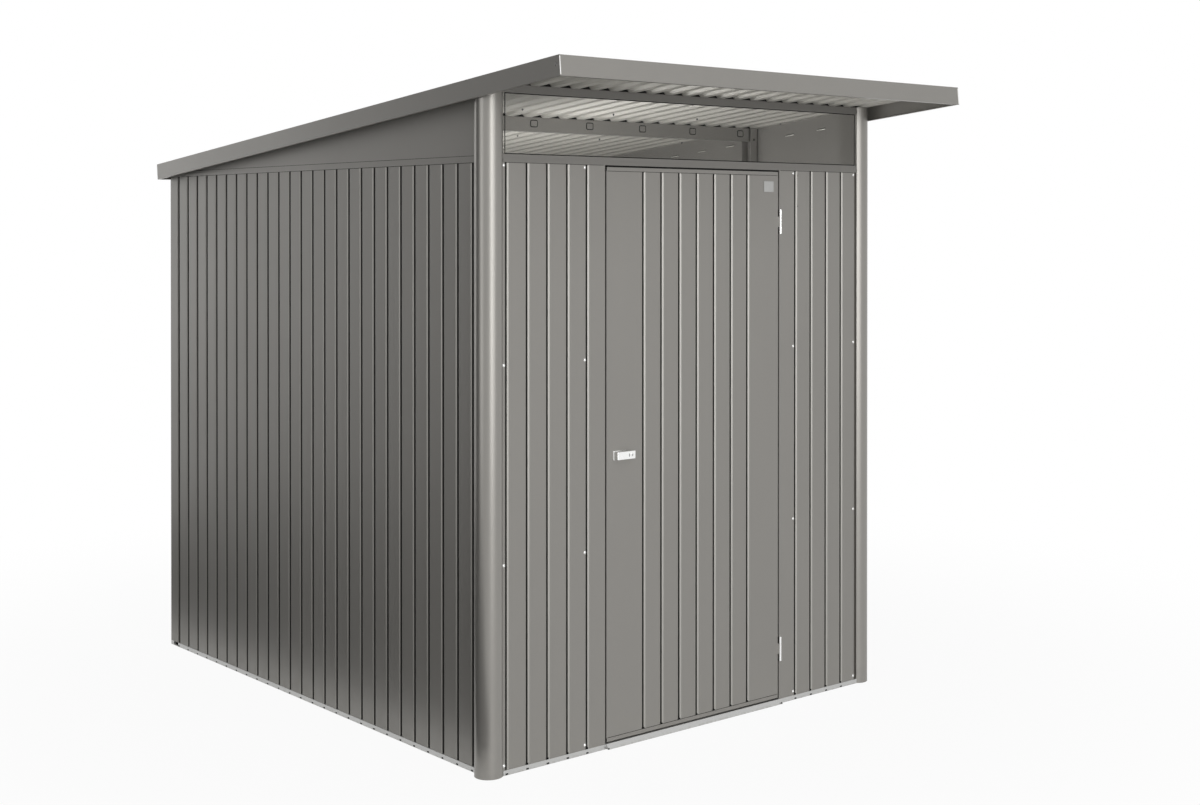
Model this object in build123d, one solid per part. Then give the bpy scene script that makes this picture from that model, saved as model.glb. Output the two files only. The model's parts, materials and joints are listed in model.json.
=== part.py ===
import os
from math import cos, hypot, radians, sin, sqrt, tan

from build123d import *

os.makedirs("parts", exist_ok=True)

# Metal tool shed with a lean-to roof, in millimetres.
# +X runs along the front to the right, the front faces -Y, +Z is up.
# The origin is on the ground under the middle of the roof.

# Body
body_width = 1713.0          # between the outer flats of the two side walls
body_depth = 2160.0          # from the front flats to the rear flats
base_height = 16.0           # visible height of the base rails
wall_top = 1877.0            # top of the ribbed sheets above the ground
sheet = 1.2                  # thickness of the folded wall sheets
seat_gap = 0.3               # clearance where one piece only rests near another

# Ribs pressed into every wall sheet
rib_pitch = 80.0
rib_mouth = 18.0             # width at the face of the sheet
rib_neck = 7.0               # width below the sloping shoulders
rib_floor = 6.0
rib_shoulder = 3.0           # depth of the sloping shoulders
rib_depth = 9.0
front_rib_shift = 4.0        # the front wall's rib grid from the shed's middle
side_rib_first = 94.0        # first rib of a side wall behind the front flats
rib_end_margin = 55.0        # least distance from a rib to the end of a wall

# Roof
side_overhang = 44.5         # from the side flats to the fascia
front_overhang = 389.0       # from the front flats to the fascia's upper edge
rear_overhang = 34.7         # from the rear flats to the end of the roof
roof_pitch = 5.35            # degrees, falling to the rear
fascia_height = 61.0
fascia_metal = 2.0
fascia_lip = 30.0            # folded over the roof sheet
fascia_return = 10.0         # folded back below
trough_pitch = 80.0
trough_floor = 30.0
trough_flank = 12.0
trough_depth = 15.0
roof_metal = 1.2

# Front corner posts: round aluminium extrusions that stand proud of both walls
post_radius = 44.7
post_inset_x = 17.0          # centre behind the side flats
post_inset_y = 32.9          # centre behind the front flats
post_metal = 3.0
post_flange = 34.0           # leg behind each neighbouring sheet

# Rear corners and inner posts
corner_leg = 60.0
corner_metal = 1.5
mid_post_y = 548.0           # front flange behind the front flats
mid_post_depth = 52.0
mid_post_width = 34.0
mid_post_metal = 2.0

# Base rails
rail_proud = 1.5
rail_body = 22.5             # width of the raised part that carries the sheets
rail_upstand = 40.0          # top of the inner upstand
rail_upstand_metal = 2.5
rail_foot = 60.0             # reach of the flat foot inside
rail_foot_metal = 3.0
drain_width = 10.0           # pocket in the rail below every rib
drain_height = 5.0
drain_bottom = 1.5
drain_depth = 3.0

# Rails on top of the walls
top_rail_proud = 2.0
top_rail_step = 11.0         # height of the proud lower step
top_rail_height = 20.0
front_rail_height = 25.0     # the one over the front carries the pane
rear_rail_height = 36.9      # the one over the rear reaches the roof
top_rail_metal = 2.0
top_rail_setback = 1.0       # the upper step behind the flats

# Triangular plates above the side walls
gable_setback = 3.0
gable_metal = 3.0
gable_slot_first = 49.0      # row of slots on the inner face, behind the front flats
gable_slot_pitch = 163.0
gable_slot_length = 44.0
gable_slot_height = 3.5
gable_slot_depth = 1.5
gable_slot_drop = 66.0       # below the roof's upper plane

# Beams under the roof sheet
beam_metal = 2.0
front_beam_height = 25.0
front_beam_setback = 2.0
front_beam_depth = 30.0
mid_beam_height = 50.8
mid_beam_setback = 12.0      # behind the front flange of the inner posts
mid_beam_depth = 36.0
clip_width = 27.0
clip_height = 20.0
clip_metal = 1.5
clip_pitch = 255.0
clip_count = 7
clip_drop = 22.0             # clip centre below the top of the beam face
clip_corner = 4.0

# Clear pane over the front wall
pane_thickness = 3.0
pane_setback = 4.0

# Doorway and door
doorway_half = 401.0
door_gap = 6.0               # round the closed leaf
door_bottom = 22.0
door_depth = 24.0            # leaf with its frame
door_cap = 12.0              # plain band at the top and bottom edge
door_cap_proud = 0.8         # of the leaf's flats
door_rib_margin = 110.0      # least distance from a rib to the leaf's side
door_frame_width = 60.0
door_frame_metal = 2.0
stop_gap = 5.0               # from the back of the leaf to the stop
jamb_stop = 16.0             # width of the stop behind the leaf
jamb_leg = 40.0
jamb_metal = 2.0

# Sill
sill_left_gap = 5.0          # from the toe's left end to the doorway's side
sill_right_overlap = 9.0
sill_reach = 12.0            # toe in front of the flats

# Hinges
hinge_offset = 1.0           # axis beyond the doorway's side
hinge_proud = 5.0            # axis in front of the flats
hinge_length = 85.0
hinge_low_rise = 130.0       # above the leaf's lower edge
hinge_high_drop = 217.0      # below the leaf's upper edge
hinge_pin_radius = 3.0
hinge_bore_clearance = 0.08
hinge_knuckle_radius = 4.5
hinge_middle = 35.0          # length of the knuckle on the door
hinge_end_gap = 0.5
hinge_leaf_metal = 1.5
hinge_leaf_depth = 22.0

# Handle
handle_backset = 43.0        # spindle from the leaf's free side
handle_rise = 920.0          # spindle above the leaf's lower edge
rose_left = 20.0             # plate behind the lever, from the spindle
rose_right = 36.0
rose_height = 29.0
rose_thickness = 7.0
neck_width = 30.0
lever_stand_off = 15.0       # gap side of the lever from the flats
lever_thickness = 12.0
lever_height = 27.0
lever_length = 77.0
lever_heel = 18.0            # lever end beyond the spindle
lever_round = 3.0
key_radius = 7.0
key_proud = 0.8
key_inset = 14.0             # key barrel from the free end
lock_gap = 15.0              # from the free side's stile edge
lock_width = 60.0
lock_height = 150.0
lock_thickness = 18.0

# Blank plate near the top of the door
plate_width = 48.0
plate_height = 37.0
plate_metal = 1.0
plate_side_gap = 23.0        # from the leaf's hinge side
plate_top_gap = 33.5         # from the leaf's upper edge

# Sizes that follow from the ones above
half_width = body_width / 2
roof_width = body_width + 2 * side_overhang
slope = tan(radians(roof_pitch))
roof_run = front_overhang + body_depth + rear_overhang
roof_length = roof_run / cos(radians(roof_pitch))
fascia_lean = fascia_height * sin(radians(roof_pitch))
roof_front_y = -(roof_run - fascia_lean) / 2
front_y = roof_front_y + front_overhang
rear_y = front_y + body_depth
sheet_depth = rib_depth + sheet
roof_seat = fascia_metal + trough_depth
roof_cover = (roof_seat + seat_gap) / cos(radians(roof_pitch))
rear_rail_top = wall_top + rear_rail_height
roof_front_height = rear_rail_top + roof_cover + (rear_y - roof_front_y) * slope
roof_place = Location((0, roof_front_y, roof_front_height), (-roof_pitch, 0, 0))
post_x = half_width - post_inset_x
post_y = front_y + post_inset_y
post_edge_x = post_x - sqrt(post_radius**2 - post_inset_y**2)
post_edge_y = post_y + sqrt(post_radius**2 - post_inset_x**2)
side_rail_top = wall_top + top_rail_height
front_rail_top = wall_top + front_rail_height
door_half = doorway_half - door_gap
door_back = front_y + door_depth
stop_y = door_back + stop_gap
door_top = wall_top - door_gap
hinge_y = front_y - hinge_proud
hinge_x = doorway_half + hinge_offset
hinge_low_z = door_bottom + hinge_low_rise
hinge_high_z = door_top - hinge_high_drop
handle_x = handle_backset - door_half
handle_z = door_bottom + handle_rise
lock_x = lock_width / 2 + door_frame_metal - door_half + sheet + lock_gap
plate_x = door_half - plate_side_gap - plate_width / 2
plate_z = door_top - plate_top_gap - plate_height / 2
front_beam_y = front_y + front_beam_setback
mid_y0 = front_y + mid_post_y
mid_y1 = mid_y0 + mid_post_depth
mid_beam_y = mid_y0 + mid_beam_setback


def roof_top(y):
    """Height of the roof's upper plane over a place along the shed."""
    return roof_front_height - (y - roof_front_y) * slope


def roof_under(y):
    """Height of the seat under the roof sheet's troughs."""
    return roof_top(y) - roof_cover


front_beam_bottom = roof_under(front_beam_y) - front_beam_height
mid_beam_bottom = roof_under(mid_beam_y) - mid_beam_height


def offset_path(points, distance):
    """Path at a constant distance to the left of the given one, with mitred corners."""
    normals = []
    for (x0, y0), (x1, y1) in zip(points, points[1:]):
        length = hypot(x1 - x0, y1 - y0)
        normals.append(((y0 - y1) / length, (x1 - x0) / length))
    result = []
    for index, (x, y) in enumerate(points):
        before = normals[max(index - 1, 0)]
        after = normals[min(index, len(normals) - 1)]
        share = 1 + before[0] * after[0] + before[1] * after[1]
        shift_x = (before[0] + after[0]) / share * distance
        shift_y = (before[1] + after[1]) / share * distance
        result.append((x + shift_x, y + shift_y))
    return result


def folded(points, metal):
    """Closed outline of a folded strip whose metal lies to the left of its path."""
    return points + offset_path(points, metal)[::-1]


def outline_face(points):
    return make_face(Polyline(*points, close=True))


def upright(points, bottom, top):
    """Solid from a plan outline of (x, y) points."""
    face = Plane.XY.offset(bottom) * outline_face(points)
    return extrude(face, top - bottom, dir=(0, 0, 1))


def lengthways(points, start, end):
    """Solid along Y from an outline of (x, z) points."""
    plane = Plane(origin=(0, start, 0), x_dir=(1, 0, 0), z_dir=(0, -1, 0))
    return extrude(plane * outline_face(points), end - start, dir=(0, 1, 0))


def crossways(points, start, end):
    """Solid along X from an outline of (y, z) points."""
    plane = Plane(origin=(start, 0, 0), x_dir=(0, 1, 0), z_dir=(1, 0, 0))
    return extrude(plane * outline_face(points), end - start, dir=(1, 0, 0))


def block(x0, x1, y0, y1, z0, z1):
    centre = ((x0 + x1) / 2, (y0 + y1) / 2, (z0 + z1) / 2)
    return Location(centre) * Box(x1 - x0, y1 - y0, z1 - z0)


def other_side(solid):
    return mirror(solid, about=Plane.YZ)


def below_roof(solid):
    """The solid cut off just below the roof sheet."""
    reach = roof_length * 2
    above = roof_place * block(-reach, reach, -reach, reach, -roof_seat - seat_gap, reach)
    return solid - above


pieces = {}

# Ribbed sheets


def ribbed_path(start, end, ribs, flange_start, flange_end):
    """Path of a ribbed sheet in (along, inward) points, with folded ends."""
    path = []
    if flange_start > 0:
        path.append((start, flange_start))
    path.append((start, 0))
    for centre in ribs:
        path.append((centre - rib_mouth / 2, 0))
        path.append((centre - rib_neck / 2, rib_shoulder))
        path.append((centre - rib_floor / 2, rib_depth))
        path.append((centre + rib_floor / 2, rib_depth))
        path.append((centre + rib_neck / 2, rib_shoulder))
        path.append((centre + rib_mouth / 2, 0))
    path.append((end, 0))
    if flange_end > 0:
        path.append((end, flange_end))
    return path


def ribs_between(start, end, shift):
    """Places on a rib grid, which stands off the shed's middle by the shift."""
    count = int(half_width // rib_pitch)
    grid = [number * rib_pitch + shift for number in range(-count, count + 1)]
    return [place for place in grid if start < place - rib_mouth / 2 and place + rib_mouth / 2 < end]


side_start = post_edge_y
side_end = rear_y - corner_leg / 2
side_ribs = []
rib_y = front_y + side_rib_first
while rib_y < rear_y - rib_end_margin:
    side_ribs.append(rib_y)
    rib_y += rib_pitch
side_path = ribbed_path(side_start, side_end, side_ribs, sheet_depth, sheet_depth)
side_outline = [(half_width - inward, along) for along, inward in folded(side_path, sheet)]
pieces["right_wall"] = upright(side_outline, base_height, wall_top)
pieces["left_wall"] = other_side(pieces["right_wall"])

rear_half = half_width - corner_leg / 2
rear_ribs = ribs_between(-rear_half, rear_half, 0)
rear_path = ribbed_path(-rear_half, rear_half, rear_ribs, sheet_depth, sheet_depth)
rear_outline = [(along, rear_y - inward) for along, inward in folded(rear_path, sheet)]
pieces["rear_wall"] = upright(rear_outline, base_height, wall_top)

reveal = stop_y - front_y
left_ribs = ribs_between(-post_edge_x, -doorway_half - rib_pitch / 2, front_rib_shift)
right_ribs = ribs_between(doorway_half + rib_pitch / 2, post_edge_x, front_rib_shift)
right_end = right_ribs[-1] + rib_pitch - rib_mouth / 2
left_path = ribbed_path(-post_edge_x, -doorway_half, left_ribs, sheet_depth, reveal)
right_path = ribbed_path(doorway_half, right_end, right_ribs, reveal, sheet_depth)
for name, path in (("front_wall_left", left_path), ("front_wall_right", right_path)):
    outline = [(along, front_y + inward) for along, inward in folded(path, sheet)]
    pieces[name] = upright(outline, base_height, wall_top)

# Front posts


def front_post():
    """Half-round nose with a leg behind each wall sheet, in one extrusion."""
    nose = Location((post_x, post_y)) * (Circle(post_radius) - Circle(post_radius - post_metal))
    back_x = half_width - sheet_depth - seat_gap
    back_y = front_y + sheet_depth + seat_gap
    inner_x = back_x - post_metal
    inner_y = back_y + post_metal
    room = post_radius * 2
    indoors = outline_face(
        [
            (post_edge_x - room, front_y),
            (post_edge_x, front_y),
            (half_width, post_edge_y),
            (half_width, front_y + room),
            (post_edge_x - room, front_y + room),
        ]
    )
    legs = outline_face(
        [
            (post_edge_x, front_y),
            (post_edge_x, back_y),
            (post_edge_x - post_flange, back_y),
            (post_edge_x - post_flange, inner_y),
            (inner_x, inner_y),
            (inner_x, post_edge_y + post_flange),
            (back_x, post_edge_y + post_flange),
            (back_x, post_edge_y),
            (half_width, post_edge_y),
            (half_width, post_edge_y - post_metal),
            (back_x, post_edge_y - post_metal),
            (back_x, back_y),
            (post_edge_x + post_metal, back_y),
            (post_edge_x + post_metal, front_y),
        ]
    )
    post = extrude((nose - indoors) + legs, roof_front_height, dir=(0, 0, 1))
    rail_notch = block(0, post_edge_x, front_y, inner_y, 0, base_height)
    side_notch = block(inner_x, half_width, post_edge_y, rear_y, 0, base_height)
    window = block(0, post_edge_x, front_y, inner_y, front_rail_top, front_beam_bottom)
    return below_roof(post - rail_notch - side_notch - window)


pieces["front_post_right"] = front_post()
pieces["front_post_left"] = other_side(pieces["front_post_right"])

# Rear corners

corner_path = [
    (half_width - corner_leg, rear_y),
    (half_width, rear_y),
    (half_width, rear_y - corner_leg),
]
corner = upright(folded(corner_path, corner_metal), base_height, side_rail_top)
pieces["rear_corner_right"] = corner
pieces["rear_corner_left"] = other_side(corner)

# Inner posts, C sections open to the inside

post_back = half_width - sheet_depth - seat_gap
post_front = post_back - mid_post_width
mid_post_path = [
    (post_front, mid_y1),
    (post_back, mid_y1),
    (post_back, mid_y0),
    (post_front, mid_y0),
]
mid_post = upright(folded(mid_post_path, -mid_post_metal), rail_foot_metal, roof_front_height)
rail_room = block(
    half_width - rail_body - seat_gap,
    half_width,
    mid_y0,
    mid_y1,
    0,
    rail_upstand,
)
pieces["mid_post_right"] = below_roof(mid_post - rail_room)
pieces["mid_post_left"] = other_side(pieces["mid_post_right"])

# Base rails


def rail_outline():
    """Section of a base rail in (inward, z) points."""
    return [
        (-rail_proud, 0),
        (rail_foot, 0),
        (rail_foot, rail_foot_metal),
        (rail_body, rail_foot_metal),
        (rail_body, rail_upstand),
        (rail_body - rail_upstand_metal, rail_upstand),
        (rail_body - rail_upstand_metal, base_height),
        (-rail_proud, base_height),
    ]


def drain(x, y):
    """Space of one drain pocket that opens at a place on a rail's outer face."""
    return block(
        x - drain_width / 2,
        x + drain_width / 2,
        y - drain_width / 2,
        y + drain_width / 2,
        drain_bottom,
        drain_bottom + drain_height,
    )


side_rail = lengthways(
    [(half_width - inward, z) for inward, z in rail_outline()],
    post_edge_y,
    rear_y - rail_foot,
)
pocket_shift = drain_width / 2 - drain_depth + rail_proud
side_rail = side_rail - [drain(half_width + pocket_shift, place) for place in side_ribs]
pieces["base_rail_right"] = side_rail
pieces["base_rail_left"] = other_side(side_rail)
rear_rail = crossways(
    [(rear_y - inward, z) for inward, z in rail_outline()],
    -half_width - rail_proud,
    half_width + rail_proud,
)
corner_room = block(
    half_width - sheet_depth,
    half_width + rail_proud,
    rear_y - rail_body,
    rear_y + rail_proud,
    base_height,
    rail_upstand,
)
rear_rail = rear_rail - corner_room - other_side(corner_room)
pieces["base_rail_rear"] = rear_rail - [drain(place, rear_y + pocket_shift) for place in rear_ribs]
front_rail = crossways(
    [(front_y + inward, z) for inward, z in rail_outline()],
    doorway_half + sheet + seat_gap,
    post_edge_x,
)
front_pocket_y = front_y - pocket_shift
pieces["base_rail_front_right"] = front_rail - [drain(place, front_pocket_y) for place in right_ribs]
left_rail = other_side(front_rail)
pieces["base_rail_front_left"] = left_rail - [drain(place, front_pocket_y) for place in left_ribs]

# Sill, with a sloping toe in front of the door

sill_body = [
    (front_y - rail_proud, 0),
    (front_y + rail_foot, 0),
    (front_y + rail_foot, rail_foot_metal),
    (front_y + rail_body, rail_foot_metal),
    (front_y + rail_body, base_height),
    (front_y - rail_proud, base_height),
]
sill_toe = [
    (front_y - sill_reach, 0),
    (front_y - rail_proud, 0),
    (front_y - rail_proud, base_height),
]
sill_half = doorway_half + sheet
sill = crossways(sill_body, -sill_half, sill_half)
toe_start = sill_left_gap - doorway_half
toe_end = doorway_half + sill_right_overlap
pieces["door_sill"] = sill + crossways(sill_toe, toe_start, toe_end)

# Rails on top of the walls, C sections open to the inside


def top_rail_path(top):
    return [
        (sheet_depth, wall_top),
        (-top_rail_proud, wall_top),
        (-top_rail_proud, wall_top + top_rail_step),
        (top_rail_setback, wall_top + top_rail_step),
        (top_rail_setback, top),
        (sheet_depth, top),
    ]


side_top = folded(top_rail_path(side_rail_top), -top_rail_metal)
side_top_rail = lengthways(
    [(half_width - inward, z) for inward, z in side_top],
    post_edge_y,
    rear_y - corner_leg,
)
pieces["top_rail_right"] = side_top_rail
pieces["top_rail_left"] = other_side(side_top_rail)
front_top = folded(top_rail_path(front_rail_top), -top_rail_metal)
pieces["top_rail_front"] = crossways(
    [(front_y + inward, z) for inward, z in front_top],
    -post_edge_x,
    post_edge_x,
)
rear_inner_y = rear_y - sheet_depth
rear_top = folded(
    [
        (rear_inner_y, wall_top),
        (rear_y, wall_top),
        (rear_y, roof_under(rear_y)),
        (rear_inner_y, roof_under(rear_inner_y)),
    ],
    top_rail_metal,
)
pieces["top_rail_rear"] = crossways(rear_top, -half_width, half_width)

# Plates that close the side walls up to the sloping roof

gable_end = rear_inner_y - seat_gap
gable_outline = [
    (post_edge_y, side_rail_top),
    (gable_end, side_rail_top),
    (gable_end, roof_under(gable_end)),
    (post_edge_y, roof_under(post_edge_y)),
]
gable_outer = half_width - gable_setback
gable_inner = gable_outer - gable_metal
gable = crossways(gable_outline, gable_inner, gable_outer)


def gable_slot(place):
    """Space of one slot along the roof's slope on the gable's inner face."""
    height = roof_top(place) - gable_slot_drop
    slot = Box(2 * gable_slot_depth, gable_slot_length, gable_slot_height)
    return Location((gable_inner, place, height), (-roof_pitch, 0, 0)) * slot


slot_y = front_y + gable_slot_first
slots = []
while roof_top(slot_y) - gable_slot_drop > side_rail_top + gable_slot_height:
    if slot_y + gable_slot_length < mid_y0 or slot_y > mid_y1:
        slots.append(gable_slot(slot_y))
    slot_y += gable_slot_pitch
gable = gable - slots
pieces["gable_right"] = gable
pieces["gable_left"] = other_side(gable)

# Beams under the roof sheet


def beam_outline(front, depth, bottom):
    """C section open to the rear, its top flange following the roof."""
    back = front + depth
    path = [
        (back, bottom),
        (front, bottom),
        (front, roof_under(front)),
        (back, roof_under(back)),
    ]
    return folded(path, -beam_metal)


front_beam = crossways(
    beam_outline(front_beam_y, front_beam_depth, front_beam_bottom),
    -post_edge_x,
    post_edge_x,
)
leg_room_x = post_edge_x - post_flange - seat_gap
leg_room = block(
    leg_room_x,
    half_width,
    front_y + sheet_depth,
    front_y + sheet_depth + front_beam_depth,
    front_beam_bottom,
    roof_front_height,
)
pieces["roof_beam_front"] = front_beam - leg_room - other_side(leg_room)

mid_beam_half = post_back - mid_post_metal - seat_gap
pieces["roof_beam_mid"] = crossways(
    beam_outline(mid_beam_y, mid_beam_depth, mid_beam_bottom),
    -mid_beam_half,
    mid_beam_half,
)
clip_z = roof_under(mid_beam_y) - clip_drop
clip_face = RectangleRounded(clip_width, clip_height, clip_corner)
clips = Compound(
    [
        extrude(
            Plane(origin=(place, mid_beam_y, clip_z), x_dir=(1, 0, 0), z_dir=(0, -1, 0)) * clip_face,
            clip_metal,
            dir=(0, -1, 0),
        )
        for place in [(number - (clip_count - 1) / 2) * clip_pitch for number in range(clip_count)]
    ]
)
pieces["beam_clips"] = clips

# Clear pane between the front rail and the front beam

pane_y = front_y + pane_setback
pieces["front_pane"] = block(
    -post_edge_x,
    post_edge_x,
    pane_y,
    pane_y + pane_thickness,
    front_rail_top,
    front_beam_bottom,
)

# Roof sheet, drawn level and then laid on the slope

roof_edge = roof_width / 2 - fascia_metal - seat_gap
crest_z = -fascia_metal
trough_z = -roof_seat + roof_metal
trough_count = int(2 * roof_edge // trough_pitch)
roof_path = [(-roof_edge, crest_z)]
for number in range(trough_count):
    centre = (number - (trough_count - 1) / 2) * trough_pitch
    roof_path.append((centre - trough_floor / 2 - trough_flank, crest_z))
    roof_path.append((centre - trough_floor / 2, trough_z))
    roof_path.append((centre + trough_floor / 2, trough_z))
    roof_path.append((centre + trough_floor / 2 + trough_flank, crest_z))
roof_path.append((roof_edge, crest_z))
roof_gap = fascia_metal + seat_gap
level_roof = lengthways(folded(roof_path, -roof_metal), roof_gap, roof_length - roof_gap)
pieces["roof_sheet"] = roof_place * level_roof

# Fascias folded over the roof sheet's edges


def fascia_path(edge, inward):
    """Path from the upper lip round the face to the lower return."""
    return [
        (edge + inward * fascia_lip, 0),
        (edge, 0),
        (edge, -fascia_height),
        (edge + inward * fascia_return, -fascia_height),
    ]


fascia_front = crossways(
    folded(fascia_path(0, 1), fascia_metal),
    -roof_width / 2,
    roof_width / 2,
)
fascia_rear = crossways(
    folded(fascia_path(roof_length, -1), -fascia_metal),
    -roof_width / 2,
    roof_width / 2,
)
fascia_right = lengthways(
    folded(fascia_path(roof_width / 2, -1), -fascia_metal),
    fascia_metal,
    roof_length - fascia_metal,
)
lip_room = block(
    roof_width / 2 - fascia_lip,
    roof_width / 2,
    fascia_metal,
    roof_length - fascia_metal,
    -fascia_height,
    0,
)
for name, strip in (("fascia_front", fascia_front), ("fascia_rear", fascia_rear)):
    pieces[name] = roof_place * (strip - lip_room - other_side(lip_room))
pieces["fascia_right"] = roof_place * fascia_right
pieces["fascia_left"] = other_side(pieces["fascia_right"])

# Doorway: a folded stop and stiffener behind each reveal

jamb_path = [
    (doorway_half - jamb_stop, stop_y),
    (doorway_half + jamb_leg, stop_y),
    (doorway_half + jamb_leg, front_y + sheet_depth + seat_gap),
]
jamb = upright(folded(jamb_path, jamb_metal), rail_foot_metal, wall_top)
upstand_room = block(
    doorway_half,
    doorway_half + jamb_leg * 2,
    front_y,
    front_y + rail_body + seat_gap,
    0,
    rail_upstand + seat_gap,
)
pieces["door_jamb_right"] = jamb - upstand_room
pieces["door_jamb_left"] = other_side(pieces["door_jamb_right"])

# Door leaf

rib_limit = door_half - door_rib_margin
door_rib_places = ribs_between(-rib_limit, rib_limit, front_rib_shift)
skin_path = ribbed_path(-door_half, door_half, door_rib_places, door_depth, door_depth)
skin_outline = [(along, front_y + inward) for along, inward in folded(skin_path, sheet)]
skin_bottom = door_bottom + door_cap
skin_top = door_top - door_cap
pieces["door_skin"] = upright(skin_outline, skin_bottom, skin_top)

frame_half = door_half - sheet
frame_front = front_y + sheet_depth + seat_gap
stile_path = [
    (frame_half, frame_front),
    (frame_half, door_back),
    (frame_half - door_frame_width, door_back),
    (frame_half - door_frame_width, frame_front),
]
stile = upright(
    folded(stile_path, door_frame_metal),
    door_bottom + door_frame_width,
    door_top - door_frame_width,
)
pieces["door_stiles"] = Compound([stile, other_side(stile)])


def edge_rail(edge, inward):
    """Cap over the skin's end, returned behind it as the frame's rail."""
    path = [
        (front_y - door_cap_proud, edge + inward * door_cap),
        (front_y - door_cap_proud, edge),
        (door_back, edge),
        (door_back, edge + inward * door_frame_width),
    ]
    return crossways(folded(path, inward * door_frame_metal), -frame_half, frame_half)


pieces["door_bottom_rail"] = edge_rail(door_bottom, 1)
pieces["door_top_rail"] = edge_rail(door_top, -1)
mid_rail_half = frame_half - door_frame_width
mid_rail_path = [
    (frame_front, handle_z + door_frame_width / 2),
    (door_back, handle_z + door_frame_width / 2),
    (door_back, handle_z - door_frame_width / 2),
    (frame_front, handle_z - door_frame_width / 2),
]
mid_rail = folded(mid_rail_path, -door_frame_metal)
pieces["door_mid_rail"] = crossways(mid_rail, -mid_rail_half, mid_rail_half)

pieces["door_plate"] = block(
    plate_x - plate_width / 2,
    plate_x + plate_width / 2,
    front_y - plate_metal,
    front_y,
    plate_z - plate_height / 2,
    plate_z + plate_height / 2,
)
pieces["lock_case"] = block(
    lock_x - lock_width / 2,
    lock_x + lock_width / 2,
    door_back,
    door_back + lock_thickness,
    handle_z - lock_height / 2,
    handle_z + lock_height / 2,
)

# Hinges: the pin and its end knuckles stay on the doorway, the middle knuckle on the door


def upright_rod(radius, bottom, top):
    centre = (hinge_x, hinge_y, (bottom + top) / 2)
    return Location(centre) * Cylinder(radius, top - bottom)


def fixed_hinge(bottom):
    top = bottom + hinge_length
    end = (hinge_length - hinge_middle) / 2 - hinge_end_gap
    solid = upright_rod(hinge_pin_radius, bottom, top)
    for low, high in ((bottom, bottom + end), (top - end, top)):
        leaf = block(
            doorway_half - hinge_leaf_metal,
            doorway_half,
            hinge_y,
            front_y + hinge_leaf_depth,
            low,
            high,
        )
        solid = solid + upright_rod(hinge_knuckle_radius, low, high) + leaf
    return solid


def door_hinge(bottom):
    low = bottom + (hinge_length - hinge_middle) / 2
    high = low + hinge_middle
    leaf = block(
        door_half,
        door_half + hinge_leaf_metal,
        hinge_y,
        front_y + hinge_leaf_depth,
        low,
        high,
    )
    arm = block(
        door_half,
        hinge_x - hinge_pin_radius,
        hinge_y - hinge_knuckle_radius,
        hinge_y,
        low,
        high,
    )
    knuckle = upright_rod(hinge_knuckle_radius, low, high) + leaf + arm
    return knuckle - upright_rod(hinge_pin_radius + hinge_bore_clearance, low, high)


hinge_bottoms = (hinge_low_z, hinge_high_z)
pieces["hinge_pins"] = Compound([fixed_hinge(bottom) for bottom in hinge_bottoms])
pieces["hinge_knuckles"] = Compound([door_hinge(bottom) for bottom in hinge_bottoms])

# Handle


def spindle_disc(x, z, radius, front, back):
    """Disc square to the door, between two distances in front of the flats."""
    disc = Cylinder(radius, front - back, rotation=(90, 0, 0))
    return Location((x, front_y - (front + back) / 2, z)) * disc


rose = block(
    handle_x - rose_left,
    handle_x + rose_right,
    front_y - rose_thickness,
    front_y,
    handle_z - rose_height / 2,
    handle_z + rose_height / 2,
)
pieces["handle_rose"] = fillet(rose.edges().filter_by(Axis.Y), lever_round)
lever_front = lever_stand_off + lever_thickness
lever_free = handle_x - lever_heel + lever_length
lever = block(
    handle_x - lever_heel,
    lever_free,
    front_y - lever_front,
    front_y - lever_stand_off,
    handle_z - lever_height / 2,
    handle_z + lever_height / 2,
)
lever = fillet(lever.edges(), lever_round)
neck = block(
    handle_x - lever_heel,
    handle_x - lever_heel + neck_width,
    front_y - lever_stand_off - lever_round,
    front_y - rose_thickness - seat_gap,
    handle_z - lever_height / 2,
    handle_z + lever_height / 2,
)
neck = fillet(neck.edges().filter_by(Axis.Y), lever_round)
key = spindle_disc(
    lever_free - key_inset,
    handle_z,
    key_radius,
    lever_front + key_proud,
    lever_stand_off + lever_round,
)
pieces["handle_lever"] = lever + neck + key

for name, solid in pieces.items():
    export_step(solid, f"parts/{name}.step")
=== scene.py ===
import json
from math import pi, radians, tan

import bpy
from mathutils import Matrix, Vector


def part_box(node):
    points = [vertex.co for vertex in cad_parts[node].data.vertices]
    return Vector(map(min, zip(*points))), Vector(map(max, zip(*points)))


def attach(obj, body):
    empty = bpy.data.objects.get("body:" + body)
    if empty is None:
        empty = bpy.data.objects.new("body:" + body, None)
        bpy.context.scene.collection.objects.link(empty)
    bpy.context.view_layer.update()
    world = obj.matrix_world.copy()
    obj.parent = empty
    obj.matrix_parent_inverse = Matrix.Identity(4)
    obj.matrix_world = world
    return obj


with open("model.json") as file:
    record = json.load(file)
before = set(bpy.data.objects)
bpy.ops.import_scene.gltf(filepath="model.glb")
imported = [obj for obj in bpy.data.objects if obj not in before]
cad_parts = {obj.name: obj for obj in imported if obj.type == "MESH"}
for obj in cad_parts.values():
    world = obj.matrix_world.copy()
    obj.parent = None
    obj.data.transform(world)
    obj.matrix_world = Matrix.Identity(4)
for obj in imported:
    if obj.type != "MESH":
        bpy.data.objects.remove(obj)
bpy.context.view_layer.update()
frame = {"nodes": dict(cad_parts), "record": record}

# Everything is in metres. +X runs along the front to the right, the front faces -Y.

# Camera
CAMERA_PLACE = (-3.878, -5.008, 1.686)
CAMERA_TURN = (89.677, 0.0, -40.072)
CAMERA_LENS = 50.33
CAMERA_SENSOR = 36.0
CAMERA_SHIFT_Y = -0.1403

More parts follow.
